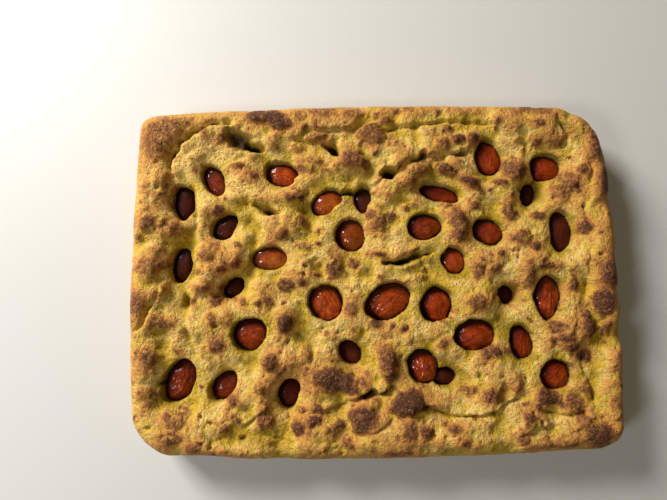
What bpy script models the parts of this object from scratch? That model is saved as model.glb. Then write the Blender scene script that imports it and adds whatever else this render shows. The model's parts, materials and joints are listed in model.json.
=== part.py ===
"""A whole focaccia: one slab of flat bread with roasted tomatoes sunk into its top.

Metres, +Z up. The origin is the middle of the flat base, and +X runs along the long side.
"""
import math
from collections import namedtuple

import bmesh
import bpy
from mathutils import Vector, noise

MM = 0.001

# What lies on the slab. Places and sizes are in millimetres, headings in degrees from +X.
Fold = namedtuple("Fold", "depth half_width points")
Hollow = namedtuple("Hollow", "x y length width heading depth")
Blister = namedtuple("Blister", "x y length width heading rise")
Tomato = namedtuple("Tomato", "x y length width heading top skin")

# The slab. Its sides bow out, and they draw in a little towards the base.
LENGTH = 400 * MM
WIDTH = 290 * MM
SIDE_BOW = 6 * MM
MIDDLE_LEVEL = 35 * MM
RIM_LEVEL = 38.5 * MM
EDGE_LEVEL = 21 * MM
RIM_ROUNDING = 15 * MM
RIM_INNER = 40 * MM
LOWEST_PIT = 9 * MM
CORNER_RADII = {(-1, 1): 18 * MM, (1, 1): 42 * MM, (-1, -1): 38 * MM, (1, -1): 22 * MM}

# Rings of the sides below the edge: height, and size against the ring above.
SIDE_RINGS = [(6 * MM, 0.99), (0.0, 0.98)]

# How finely the top is divided, and how much its outer rings are drawn together.
CELLS_LONG = 42
CELLS_WIDE = 30
EDGE_CROWDING = 0.6

# Soft unevenness of the whole top: size of the swells and how far they rise or sink.
SWELLS = [(38 * MM, 1.6 * MM), (17 * MM, 0.9 * MM)]

# Folds of the skin, each sunk along a line of points, and how far they ease out.
FOLD_REACH = 1.4
FOLDS = [
    Fold(13, 9, [(-162, 98), (-159, 76), (-158, 50), (-157, 12), (-156, -20), (-155, -48), (-150, -62)]),
    Fold(7, 6, [(-122, 127), (-140, 122), (-155, 114), (-164, 100)]),
    Fold(3, 5, [(-50, 124), (-36, 121), (-8, 124)]),
    Fold(3, 5, [(12, 121), (30, 123), (55, 127), (84, 128)]),
    Fold(7, 6, [(16, 86), (28, 94), (44, 99), (62, 99), (82, 104)]),
    Fold(6, 6, [(2, 6), (22, 8), (40, 12), (54, 17)]),
    Fold(5, 6, [(-100, 62), (-88, 56), (-77, 50)]),
    Fold(6, 6, [(-40, -106), (-26, -101), (-12, -92), (12, -88)]),
    Fold(4, 5, [(-104, -114), (-92, -106), (-80, -102)]),
    Fold(4, 5, [(-18, -121), (-2, -122), (12, -113)]),
    Fold(4, 5, [(34, -106), (52, -108), (72, -111), (100, -104), (114, -96)]),
    Fold(4, 5, [(108, -124), (126, -119), (140, -119)]),
    Fold(4, 5, [(124, -105), (140, -110), (156, -108)]),
    Fold(4, 5, [(-172, -14), (-180, -34), (-190, -38)]),
    Fold(4, 5, [(174, 56), (177, 30), (172, 6), (174, -12)]),
    Fold(4, 5, [(158, 128), (163, 114), (154, 104)]),
]

# Torn hollows in the skin: where their slope starts and ends, as a share of their size.
HOLLOW_SLOPE = (0.1, 1.3)
HOLLOWS = [
    Hollow(-103, 109, 30, 20, -20, 11),
    Hollow(-34, 104, 26, 17, -28, 10),
    Hollow(14, 85, 24, 19, 10, 11),
    Hollow(22, 8, 38, 15, 8, 7),
    Hollow(-8, -92, 26, 16, 10, 8),
    Hollow(39, -105, 20, 14, 12, 5),
    Hollow(-136, -110, 20, 15, 20, 5),
    Hollow(-106, -125, 22, 15, 10, 5),
    Hollow(163, -112, 20, 16, 60, 5),
]

# Blisters of browned crust: where their slope starts and ends, as a share of their size.
BLISTER_SLOPE = (0.2, 1.15)
BLISTERS = [
    Blister(-95, 135, 18, 13, 0, 3),
    Blister(-78, 131, 26, 18, -10, 3),
    Blister(2, 117, 26, 18, -15, 5),
    Blister(-14, 94, 26, 13, -18, 4),
    Blister(76, 113, 34, 14, 5, 4),
    Blister(40, 85, 26, 14, -5, 4),
    Blister(73, 80, 40, 12, -28, 4),
    Blister(116, 85, 26, 16, -15, 3),
    Blister(136, 122, 34, 14, 0, 2),
    Blister(-181, 44, 22, 20, 90, 4),
    Blister(-182, 8, 24, 20, 90, 3),
    Blister(-190, -20, 26, 18, 80, 4),
    Blister(-172, -35, 18, 15, 40, 3),
    Blister(-178, -60, 20, 18, 0, 4),
    Blister(6, 44, 26, 18, 20, 4),
    Blister(69, 42, 30, 12, 95, 4),
    Blister(112, 51, 18, 14, 50, 4),
    Blister(172, 37, 18, 13, 90, 3),
    Blister(188, -1, 26, 16, 95, 4),
    Blister(180, -24, 26, 18, 90, 4),
    Blister(-27, 6, 30, 15, 15, 3),
    Blister(-70, -6, 22, 15, 0, 3),
    Blister(-71, -37, 20, 16, 70, 4),
    Blister(-86, -66, 20, 16, 70, 3),
    Blister(-32, -82, 42, 20, -6, 4),
    Blister(9, -70, 32, 18, 85, 4),
    Blister(21, -101, 28, 20, 20, 5),
    Blister(-12, -110, 26, 18, 20, 4),
    Blister(-58, -112, 30, 18, 25, 4),
    Blister(-160, -114, 28, 20, 70, 4),
    Blister(135, -98, 26, 14, -14, 4),
    Blister(170, -126, 22, 20, 0, 4),
    Blister(143, -44, 18, 16, 0, 3),
]

# Tomatoes, each with the height of its top over the base. Several lie deep.
TOMATOES = [
    Tomato(-157, 64, 28, 16, 92, 27, "dark"),
    Tomato(-132, 82, 26, 15, 120, 28, "red"),
    Tomato(-75, 86, 25, 19, 172, 29, "red"),
    Tomato(-122, 43, 23, 16, 42, 26, "dark"),
    Tomato(-158, 12, 27, 15, 80, 25, "dark"),
    Tomato(-37, 62, 25, 18, 28, 30, "amber"),
    Tomato(-8, 63, 21, 15, 80, 25, "dark"),
    Tomato(-18, 34, 25, 23, 100, 29, "amber"),
    Tomato(-85, 16, 27, 17, 178, 30, "amber"),
    Tomato(-116, -7, 18, 14, 40, 21, "dark"),
    Tomato(-40, -21, 28, 24, 105, 32, "red"),
    Tomato(11, -20, 37, 25, 21, 32, "red"),
    Tomato(50, -24, 26, 24, 100, 31, "red"),
    Tomato(-102, -45, 25, 24, 160, 31, "red"),
    Tomato(-21, -61, 19, 15, 135, 25, "dark"),
    Tomato(-157, -81, 34, 21, 62, 29, "red"),
    Tomato(-122, -86, 25, 16, 54, 26, "red"),
    Tomato(-70, -93, 22, 17, 75, 25, "dark"),
    Tomato(98, 98, 27, 23, 100, 29, "red"),
    Tomato(146, 89, 24, 20, 163, 29, "red"),
    Tomato(57, 68, 30, 14, 165, 26, "red"),
    Tomato(43, 40, 27, 20, 10, 30, "red"),
    Tomato(95, 35, 24, 20, 166, 29, "red"),
    Tomato(65, 12, 21, 18, 125, 29, "red"),
    Tomato(155, 34, 31, 18, 85, 29, "dark"),
    Tomato(133, 67, 20, 12, 67, 20, "dark"),
    Tomato(141, -19, 36, 20, 86, 30, "red"),
    Tomato(109, -17, 15, 14, 0, 19, "dark"),
    Tomato(80, -49, 32, 22, 8, 32, "red"),
    Tomato(118, -56, 25, 18, 98, 28, "red"),
    Tomato(37, -73, 26, 22, 112, 31, "red"),
    Tomato(55, -82, 18, 13, 3, 24, "dark"),
    Tomato(144, -81, 24, 22, 40, 30, "red"),
]
TOMATO_FLATNESS = 0.82
TOMATO_TAPER = 0.12
TOMATO_DENT = 0.03
TOMATO_DENT_PITCH = 1.6
TOMATO_SIDES = 10
TOMATO_RINGS = 6

# The dip round each tomato, and the socket that it sits in.
DIP_SHARE = 0.7
DIP_WIDTH = 10 * MM
SOCKET_GAP = 0.45 * MM
SOCKET_FLARE = 1.08
SOCKET_TOP = 50 * MM

# Points closer than this count as one, and edges sharper than this stay crisp.
MERGE = 0.01 * MM
SHARP_ANGLE = math.radians(60)

# Crust and skins: colour, roughness.
CRUST = ((0.56, 0.36, 0.10), 0.6)
SKINS = {
    "red": ((0.30, 0.035, 0.010), 0.25),
    "amber": ((0.38, 0.10, 0.012), 0.2),
    "dark": ((0.055, 0.008, 0.006), 0.3),
}


def clear_scene():
    for obj in list(bpy.data.objects):
        bpy.data.objects.remove(obj, do_unlink=True)


def material(name, colour, roughness):
    made = bpy.data.materials.new(name)
    made.use_nodes = True
    shader = made.node_tree.nodes["Principled BSDF"]
    shader.inputs["Base Color"].default_value = (*colour, 1.0)
    shader.inputs["Roughness"].default_value = roughness
    shader.inputs["Metallic"].default_value = 0.0
    return made


def new_object(mesh, surface, holder):
    mesh.materials.append(surface)
    obj = bpy.data.objects.new(mesh.name, mesh)
    holder.link(obj)
    return obj


def smoothstep(low, high, value):
    share = min(max((value - low) / (high - low), 0.0), 1.0)
    return share * share * (3.0 - 2.0 * share)


def oval_share(x, y, oval):
    """How far (x, y) is from the middle of an oval thing: 0 there, 1 on its edge."""
    turn = math.radians(oval.heading)
    along = (x - oval.x) * math.cos(turn) + (y - oval.y) * math.sin(turn)
    across = (y - oval.y) * math.cos(turn) - (x - oval.x) * math.sin(turn)
    return math.hypot(along * 2 / oval.length, across * 2 / oval.width)


def distance_to_line(x, y, points):
    """Distance from (x, y) to the nearest stretch of a line through the points."""
    nearest = math.inf
    for (ax, ay), (bx, by) in zip(points, points[1:]):
        run_x, run_y = bx - ax, by - ay
        along = ((x - ax) * run_x + (y - ay) * run_y) / (run_x * run_x + run_y * run_y)
        along = min(max(along, 0.0), 1.0)
        nearest = min(nearest, math.hypot(x - ax - along * run_x, y - ay - along * run_y))
    return nearest


def corner_radius(x, y):
    return CORNER_RADII[(1 if x > 0 else -1, 1 if y > 0 else -1)]


def footprint(u, v):
    """Place of a grid point, with u and v from -1 to 1, on the slab seen from above."""
    ring = max(abs(u), abs(v))
    if ring == 0.0:
        return 0.0, 0.0
    eased = (1 - EDGE_CROWDING) * ring + EDGE_CROWDING * math.sin(ring * math.pi / 2)
    u, v = u * eased / ring, v * eased / ring
    half_x = LENGTH / 2 - SIDE_BOW * v * v
    half_y = WIDTH / 2 - SIDE_BOW * u * u
    radius = corner_radius(u, v) * eased ** 2
    past_x = abs(u) * half_x - (eased * half_x - radius)
    past_y = abs(v) * half_y - (eased * half_y - radius)
    pull = 1.0
    if past_x > 0 and past_y > 0:
        pull = radius / math.hypot(past_x, past_y)
        past_x, past_y = past_x * pull, past_y * pull
    x = math.copysign(eased * half_x - radius + past_x, u)
    y = math.copysign(eased * half_y - radius + past_y, v)
    return x, y


def distance_to_edge(x, y):
    """How far (x, y) lies inside the outline."""
    radius = corner_radius(x, y)
    past_x = abs(x) - (LENGTH / 2 - SIDE_BOW * (2 * y / WIDTH) ** 2 - radius)
    past_y = abs(y) - (WIDTH / 2 - SIDE_BOW * (2 * x / LENGTH) ** 2 - radius)
    outside = math.hypot(max(past_x, 0.0), max(past_y, 0.0))
    return radius - outside - min(max(past_x, past_y), 0.0)


def tomato_middle(tomato):
    """Height of a tomato's middle over the base."""
    return (tomato.top - tomato.width * TOMATO_FLATNESS / 2) * MM


def fold_depth(x, y):
    """How far the folds of the skin sink the crust at (x, y), in millimetres."""
    sunk = 0.0
    for fold in FOLDS:
        away = distance_to_line(x, y, fold.points)
        sunk += fold.depth * (1 - smoothstep(0.0, fold.half_width * FOLD_REACH, away))
    for hollow in HOLLOWS:
        sunk += hollow.depth * (1 - smoothstep(*HOLLOW_SLOPE, oval_share(x, y, hollow)))
    return sunk


def blister_rise(x, y):
    """How far the blisters lift the crust at (x, y), in millimetres."""
    lifted = 0.0
    for blister in BLISTERS:
        lifted += blister.rise * (1 - smoothstep(*BLISTER_SLOPE, oval_share(x, y, blister)))
    return lifted


def top_level(x, y):
    """Height of the crust at (x, y), before the tomatoes' sockets are cut."""
    inside = distance_to_edge(x, y)
    level = RIM_LEVEL - (RIM_LEVEL - MIDDLE_LEVEL) * smoothstep(RIM_ROUNDING, RIM_INNER, inside)
    for seed, (size, rise) in enumerate(SWELLS):
        level += rise * noise.noise(Vector((x / size, y / size, seed)))
    level += (blister_rise(x / MM, y / MM) - fold_depth(x / MM, y / MM)) * MM
    for tomato in TOMATOES:
        outside = (oval_share(x / MM, y / MM, tomato) - 1) * tomato.width / 2 * MM
        level += DIP_SHARE * (tomato.top * MM - level) * (1 - smoothstep(0.0, DIP_WIDTH, outside))
    level = max(level, LOWEST_PIT)
    shoulder = 1 - min(max(inside, 0.0) / RIM_ROUNDING, 1.0)
    return EDGE_LEVEL + (level - EDGE_LEVEL) * math.sqrt(1 - shoulder * shoulder)


def open_edges(bm):
    return [edge for edge in bm.edges if edge.is_boundary]


def extrude_rim(bm):
    """Adds a wall along the open edge and gives back its new points."""
    made = bmesh.ops.extrude_edge_only(bm, edges=open_edges(bm))["geom"]
    return [item for item in made if isinstance(item, bmesh.types.BMVert)]


def finish_mesh(bm, name):
    bmesh.ops.triangulate(bm, faces=bm.faces)
    bmesh.ops.recalc_face_normals(bm, faces=bm.faces)
    mesh = bpy.data.meshes.new(name)
    bm.to_mesh(mesh)
    bm.free()
    mesh.shade_smooth()
    mesh.set_sharp_from_angle(angle=SHARP_ANGLE)
    return mesh


def slab_mesh():
    """The bread as one closed slab: the uneven top, the sides and the flat base."""
    bm = bmesh.new()
    bmesh.ops.create_grid(bm, x_segments=CELLS_LONG, y_segments=CELLS_WIDE, size=1.0)
    for vert in bm.verts:
        x, y = footprint(vert.co.x, vert.co.y)
        vert.co = (x, y, top_level(x, y))
    for level, draw_in in SIDE_RINGS:
        for vert in extrude_rim(bm):
            vert.co = (vert.co.x * draw_in, vert.co.y * draw_in, level)
    bmesh.ops.edgeloop_fill(bm, edges=open_edges(bm))
    return finish_mesh(bm, "bread")


def tomato_ball(tomato, seed, gap):
    """An egg-shaped tomato as a bmesh, its long axis on X, `gap` larger all round."""
    bm = bmesh.new()
    bmesh.ops.create_uvsphere(bm, u_segments=TOMATO_SIDES, v_segments=TOMATO_RINGS, radius=1.0)
    half_length = tomato.length / 2 * MM
    half_width = tomato.width / 2 * MM
    for vert in bm.verts:
        out = vert.co.copy()
        dent = 1 + TOMATO_DENT * noise.noise(out * TOMATO_DENT_PITCH + Vector((seed, 0, 0)))
        taper = 1 - TOMATO_TAPER * out.x
        skin = Vector((out.x * half_length, out.y * half_width * taper, out.z * half_width * taper))
        skin.z *= TOMATO_FLATNESS
        vert.co = skin * dent + out * gap
    return bm


def socket_cutter(tomato, seed):
    """The lower half of a tomato, with its wall drawn up through the crust."""
    bm = tomato_ball(tomato, seed, SOCKET_GAP)
    everything = [*bm.verts, *bm.edges, *bm.faces]
    bmesh.ops.bisect_plane(
        bm, geom=everything, dist=MERGE, plane_co=(0, 0, 0), plane_no=(0, 0, 1), clear_outer=True
    )
    for vert in extrude_rim(bm):
        level = SOCKET_TOP - tomato_middle(tomato)
        vert.co = (vert.co.x * SOCKET_FLARE, vert.co.y * SOCKET_FLARE, level)
    bmesh.ops.edgeloop_fill(bm, edges=open_edges(bm))
    return bm


def place_tomato(obj, tomato):
    obj.location = (tomato.x * MM, tomato.y * MM, tomato_middle(tomato))
    obj.rotation_euler = (0, 0, math.radians(tomato.heading))


def make_tomatoes(skins, sockets):
    scene_objects = bpy.context.scene.collection.objects
    for index, tomato in enumerate(TOMATOES, start=1):
        mesh = finish_mesh(tomato_ball(tomato, index, 0.0), f"tomato_{index:02d}")
        place_tomato(new_object(mesh, skins[tomato.skin], scene_objects), tomato)
        mesh = finish_mesh(socket_cutter(tomato, index), f"socket_{index:02d}")
        cutter = new_object(mesh, skins[tomato.skin], sockets.objects)
        cutter.hide_render = True
        cutter.display_type = "WIRE"
        place_tomato(cutter, tomato)


def cut_sockets(bread, sockets):
    cut = bread.modifiers.new("tomato sockets", "BOOLEAN")
    cut.operation = "DIFFERENCE"
    cut.operand_type = "COLLECTION"
    cut.collection = sockets
    cut.solver = "EXACT"


def main():
    clear_scene()
    sockets = bpy.data.collections.new("sockets")
    bpy.context.scene.collection.children.link(sockets)
    skins = {name: material(f"tomato_{name}", *look) for name, look in SKINS.items()}
    bread = new_object(slab_mesh(), material("crust", *CRUST), bpy.context.scene.collection.objects)
    make_tomatoes(skins, sockets)
    cut_sockets(bread, sockets)


main()
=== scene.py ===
import json
import math

import bmesh
import bpy
import numpy as np
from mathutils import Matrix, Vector


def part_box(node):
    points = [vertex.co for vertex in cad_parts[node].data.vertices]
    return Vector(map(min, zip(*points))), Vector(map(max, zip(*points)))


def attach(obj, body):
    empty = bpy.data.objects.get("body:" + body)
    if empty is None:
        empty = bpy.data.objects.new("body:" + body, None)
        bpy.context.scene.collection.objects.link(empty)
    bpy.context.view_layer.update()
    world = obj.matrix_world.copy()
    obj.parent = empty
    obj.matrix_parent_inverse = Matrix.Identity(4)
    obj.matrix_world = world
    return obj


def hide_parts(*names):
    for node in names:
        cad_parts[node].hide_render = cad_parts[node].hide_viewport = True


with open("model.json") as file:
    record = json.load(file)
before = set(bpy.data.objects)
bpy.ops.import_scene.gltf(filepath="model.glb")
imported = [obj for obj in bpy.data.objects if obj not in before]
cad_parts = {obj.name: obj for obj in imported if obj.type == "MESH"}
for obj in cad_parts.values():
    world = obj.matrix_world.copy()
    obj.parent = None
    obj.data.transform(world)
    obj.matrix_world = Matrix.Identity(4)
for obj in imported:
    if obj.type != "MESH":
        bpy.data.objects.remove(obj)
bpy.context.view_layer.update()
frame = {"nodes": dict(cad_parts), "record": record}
mm = 0.001  # everything below is in millimetres until a mesh is written
tiles = 97  # the random fields repeat after this many cells


def ease(value, low=0.0, high=1.0):  # 0 up to low, 1 from high on, soft at both ends
    share = np.clip((value - low) / (high - low), 0.0, 1.0)
    return share * share * (3 - 2 * share)


def bell(value, width):
    return np.exp(-((value / width) ** 2))


def waves(x, y, size, seed):  # soft uneven hills from about -1 to 1
    turns = np.random.default_rng(seed).uniform(0, 2 * np.pi, (tiles, tiles))
    u, v = x / size + 300.3, y / size + 300.7
    i, j = np.floor(u).astype(int), np.floor(v).astype(int)
    u, v = u - i, v - j
    corners = []
    for di in (0, 1):
        for dj in (0, 1):
            turn = turns[(i + di) % tiles, (j + dj) % tiles]
            corners.append(np.cos(turn) * (u - di) + np.sin(turn) * (v - dj))
    u, v = ease(u), ease(v)
    left = corners[0] + (corners[1] - corners[0]) * v
    right = corners[2] + (corners[3] - corners[2]) * v
    return (left + (right - left) * u) * 1.5


def cushions(x, y, size, seed):  # rounded lumps with soft creases between, mostly 0 to 1
    soft, depth, crease = 5.0, 0.5, 0.25
    shifts = np.random.default_rng(seed).uniform(0.08, 0.92, (tiles, tiles, 2))
    u, v = x / size + 300.1, y / size + 300.9
    i, j = np.floor(u).astype(int), np.floor(v).astype(int)
    total = np.zeros(x.shape)
    for di in (-1, 0, 1):
        for dj in (-1, 0, 1):
            shift = shifts[(i + di) % tiles, (j + dj) % tiles]
            away = (i + di + shift[..., 0] - u) ** 2 + (j + dj + shift[..., 1] - v) ** 2
            total += np.exp(-soft * away)
    rounded = 1 + np.log(total) / soft / depth
    return crease * np.log1p(np.exp(rounded / crease))


def near(x, y, middleX, middleY, reach):  # which points lie in the square around a middle
    return np.flatnonzero((np.abs(x - middleX) < reach) & (np.abs(y - middleY) < reach))


def ovalShare(x, y, middleX, middleY, length, width, heading):  # 0 in the middle, 1 on the edge
    turn = math.radians(heading)
    along = (x - middleX) * math.cos(turn) + (y - middleY) * math.sin(turn)
    across = (y - middleY) * math.cos(turn) - (x - middleX) * math.sin(turn)
    return np.hypot(along * 2 / length, across * 2 / width)


def plug(tree, value, socket):  # a wire is linked to the socket, and a constant is set on it
    if isinstance(value, Wire):
        tree.links.new(value.socket, socket)
    else:
        socket.default_value = value


class Wire:  # a node's output that can be added, subtracted and multiplied
    def __init__(self, tree, socket):
        self.tree = tree
        self.socket = socket

    def sum(self, operation, first, second):
        made = self.tree.nodes.new("ShaderNodeMath")
        made.operation = operation
        plug(self.tree, first, made.inputs[0])
        plug(self.tree, second, made.inputs[1])
        return Wire(self.tree, made.outputs[0])

    def __add__(self, other):
        return self.sum("ADD", self, other)

    def __sub__(self, other):
        return self.sum("SUBTRACT", self, other)

    def __rsub__(self, other):
        return self.sum("SUBTRACT", other, self)

    def __mul__(self, other):
        return self.sum("MULTIPLY", self, other)

    def __rmul__(self, other):
        return self.sum("MULTIPLY", other, self)


class Finish:  # one material and the nodes that make it
    def __init__(self, name):
        self.material = bpy.data.materials.new(name)
        self.material.use_nodes = True
        self.tree = self.material.node_tree
        self.shader = self.tree.nodes["Principled BSDF"]
        self.place = self.node("ShaderNodeTexCoord", output="Object")

    def node(self, kind, settings=None, values=None, output=0):
        made = self.tree.nodes.new(kind)
        for name, value in (settings or {}).items():
            setattr(made, name, value)
        for name, value in (values or {}).items():
            plug(self.tree, value, made.inputs[name])
        return Wire(self.tree, made.outputs[output])

    def noise(self, size, detail=3.0, rough=0.55, twist=0.0, place=None):  # size of the patches in mm
        values = {"Vector": place or self.place, "Scale": 1 / (size * mm), "Detail": detail}
        values.update({"Roughness": rough, "Distortion": twist})
        return self.node("ShaderNodeTexNoise", values=values)

    def cells(self, size, output="Distance"):  # how far it is to the middle of the nearest cell
        values = {"Vector": self.place, "Scale": 1 / (size * mm)}
        return self.node("ShaderNodeTexVoronoi", {"feature": "F1"}, values, output)

    def grains(self, size):  # a value of its own for each small cell, from -2 to 2
        return 4 * self.cells(size, "Color") - 2

    def attribute(self, name):
        return self.node("ShaderNodeAttribute", {"attribute_name": name}, output="Fac")

    def step(self, value, low, high):  # 0 up to low, 1 from high on
        values = {"Value": value, "From Min": low, "From Max": high}
        return self.node("ShaderNodeMapRange", {"interpolation_type": "SMOOTHSTEP"}, values)

    def mix(self, share, first, second):  # the inputs 0, 6 and 7 are the share and the two colours
        made = self.tree.nodes.new("ShaderNodeMix")
        made.data_type = "RGBA"
        plug(self.tree, share, made.inputs[0])
        for colour, socket in ((first, made.inputs[6]), (second, made.inputs[7])):
            plug(self.tree, colour if isinstance(colour, Wire) else (*colour, 1.0), socket)
        return Wire(self.tree, made.outputs[2])

    def feed(self, name, value):
        plug(self.tree, value, self.shader.inputs[name])

    def bump(self, height, distance):  # distance in mm
        values = {"Height": height, "Distance": distance * mm, "Strength": 1.0}
        return self.node("ShaderNodeBump", values=values)


breadLow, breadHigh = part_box("bread")
slab = {  # its outline and the heights of its top
    "halfLength": (breadHigh.x - breadLow.x) / 2 / mm,
    "halfWidth": (breadHigh.y - breadLow.y) / 2 / mm,
    "bow": 6.0,  # how far each side swells in its middle
    "cornerRadii": {(-1, 1): 13.0, (1, 1): 42.0, (-1, -1): 36.0, (1, -1): 20.0},
    "edgeLevel": 20.0,
    "middleLevel": 34.5,
    "rimLevel": 38.0,
    "rimRounding": 15.0,
    "rimInner": 40.0,
    "gap": 1.16,  # between neighbouring points of the mesh
}
edgePushes = [  # where the outline swells or tucks in: x, y, push, reach
    (-135, -145, -4.0, 34), (95, 146, 1.5, 30), (95, -146, 1.5, 40), (0, 145, -1.2, 40),
    (201, 0, 2.0, 12), (198, 72, 1.2, 10), (199, 40, 1.0, 12), (198, 56, -1.2, 7),
    (200, -14, -1.0, 6), (-199, 100, -1.5, 20), (-197, -85, -1.5, 20), (190, 118, -2.5, 20),
]


shown = {"length": 1.14, "width": 1.10, "more": 0.4}  # the visible tomato against its CAD solid


def readTomatoes():  # each tomato's middle, heading and half sizes, from its CAD solid
    found = []
    for name in sorted(frame["nodes"]):
        if not name.startswith("tomato"):
            continue
        points = np.array([vert.co[:] for vert in frame["nodes"][name].data.vertices]) / mm
        low, high = points.min(0), points.max(0)
        middle = (low + high) / 2
        flat = points[:, :2] - middle[:2]
        _, axes = np.linalg.eigh(np.cov(flat.T))
        along, across = flat @ axes[:, 1], flat @ axes[:, 0]
        heading = math.atan2(axes[1, 1], axes[0, 1])
        found.append({
            "node": name,
            "x": middle[0], "y": middle[1], "z": middle[2],
            "length": np.ptp(along) / 2 * shown["length"] + shown["more"],
            "width": np.ptp(across) / 2 * shown["width"] + shown["more"],
            "height": (high[2] - low[2]) / 2, "heading": heading,
        })
    return found


tomatoes = readTomatoes()
print(f"frame read: slab {slab['halfLength'] * 2:.0f} mm long, {len(tomatoes)} tomatoes")


def cornerRadius(x, y):  # the radius of the corner that (x, y) is nearest to
    radii = slab["cornerRadii"]
    right = np.where(y > 0, radii[(1, 1)], radii[(1, -1)])
    left = np.where(y > 0, radii[(-1, 1)], radii[(-1, -1)])
    return np.where(x > 0, right, left)


def footprint(u, v):  # a grid point, with u and v from -1 to 1, laid into the slab's outline
    ring = np.maximum(np.maximum(np.abs(u), np.abs(v)), 1e-9)
    halfX = slab["halfLength"] - slab["bow"] * v * v
    halfY = slab["halfWidth"] - slab["bow"] * u * u
    radius = cornerRadius(u, v) * ring ** 2
    pastX = np.abs(u) * halfX - (ring * halfX - radius)
    pastY = np.abs(v) * halfY - (ring * halfY - radius)
    inCorner = (pastX > 0) & (pastY > 0)
    pull = np.where(inCorner, radius / np.maximum(np.hypot(pastX, pastY), 1e-9), 1.0)
    pastX, pastY = pastX * pull, pastY * pull
    x = np.copysign(ring * halfX - radius + pastX, u)
    y = np.copysign(ring * halfY - radius + pastY, v)
    return x, y


def distanceToEdge(x, y):  # how far inside the slab's outline a point is
    radius = cornerRadius(x, y)
    bow = slab["bow"]
    pastX = np.abs(x) - (slab["halfLength"] - bow * (y / slab["halfWidth"]) ** 2 - radius)
    pastY = np.abs(y) - (slab["halfWidth"] - bow * (x / slab["halfLength"]) ** 2 - radius)
    outside = np.hypot(np.maximum(pastX, 0), np.maximum(pastY, 0))
    return radius - outside - np.minimum(np.maximum(pastX, pastY), 0)


# A fold's skin rolls over on the left of its run: depth, width of its wall, reach of the slope
# on the other side, height of the rolled lip, how far the lip hangs over, and its points.
folds = [
    (8.5, 3.0, 9.0, 1.2, 1.8, [(-112, 126), (-124, 127), (-132, 126), (-140, 122), (-148, 118),
                               (-155, 114), (-160, 108), (-165, 101), (-167, 93), (-165, 84), (-160, 78)]),
    (8.5, 6.0, 20.0, 0.8, 0.4, [(-156, 84), (-149, 74), (-147, 60), (-147, 46), (-149, 32),
                                (-151, 24), (-148, 10), (-149, -4)]),
    (7.5, 6.0, 14.0, 0.8, 0.3, [(-149, 0), (-153, -12), (-154, -26), (-151, -40), (-149, -52),
                                (-143, -66)]),
    (4.0, 1.6, 8.0, 0.8, 1.2, [(-58, 118), (-50, 124), (-36, 121), (-28, 122), (-6, 124), (3, 126)]),
    (4.0, 1.6, 8.0, 0.8, 1.2, [(8, 120), (22, 123), (30, 123), (45, 124), (63, 128), (82, 128),
                               (104, 124)]),
    (9.0, 2.2, 13.0, 1.6, 2.4, [(16, 83), (22, 90), (28, 94), (36, 97), (43, 99), (56, 98), (65, 100),
                                (75, 102), (88, 104)]),
    (8.0, 2.2, 9.0, 1.4, 1.6, [(56, 20), (48, 18), (40, 16), (30, 14), (22, 12), (14, 11), (4, 10)]),
    (6.0, 2.4, 9.0, 1.0, 1.2, [(-104, 66), (-98, 61), (-90, 57), (-80, 51), (-72, 51)]),
    (9.0, 1.8, 9.0, 1.2, 1.6, [(-28, -98), (-20, -96), (-12, -92), (-5, -91), (2, -92), (12, -88),
                               (20, -89)]),
    (5.0, 1.8, 8.0, 1.0, 1.2, [(-46, -108), (-38, -105), (-30, -102), (-22, -98)]),
    (5.5, 1.8, 9.0, 1.2, 1.4, [(28, -108), (36, -105), (44, -104), (54, -109), (64, -111), (80, -109),
                               (94, -107), (103, -100), (116, -95)]),
    (5.0, 2.0, 8.0, 1.0, 1.2, [(-108, -118), (-100, -112), (-94, -108), (-84, -104)]),
    (4.5, 1.8, 8.0, 1.2, 1.4, [(-20, -121), (-10, -122), (-2, -121), (6, -118), (13, -111)]),
    (4.5, 1.8, 8.0, 1.0, 1.4, [(106, -126), (114, -123), (122, -121), (132, -119), (142, -120)]),
    (4.5, 1.8, 8.0, 1.0, 1.4, [(122, -104), (130, -108), (140, -110), (150, -110), (162, -106)]),
    (4.0, 2.0, 9.0, 1.4, 1.2, [(-172, 0), (-172, -12), (-178, -24), (-184, -36), (-192, -42)]),
    (3.5, 2.2, 9.0, 1.2, 1.2, [(181, 94), (180, 80), (178, 66), (174, 52), (175, 34)]),
    (3.5, 2.2, 8.0, 1.0, 1.2, [(175, 22), (173, 6), (174, -10), (168, -22)]),
    (4.0, 2.2, 11.0, 1.2, 1.2, [(152, 132), (160, 124), (165, 114), (160, 104), (152, 102)]),
    (3.5, 1.8, 9.0, 0.8, 1.0, [(-6, 70), (2, 76), (8, 80), (12, 86)]),
    (3.0, 2.0, 8.0, 0.8, 1.0, [(-70, 112), (-60, 115), (-50, 113), (-40, 108)]),
    (3.5, 1.8, 8.0, 0.8, 1.0, [(164, -70), (168, -84), (172, -98), (168, -112)]),
]

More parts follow.
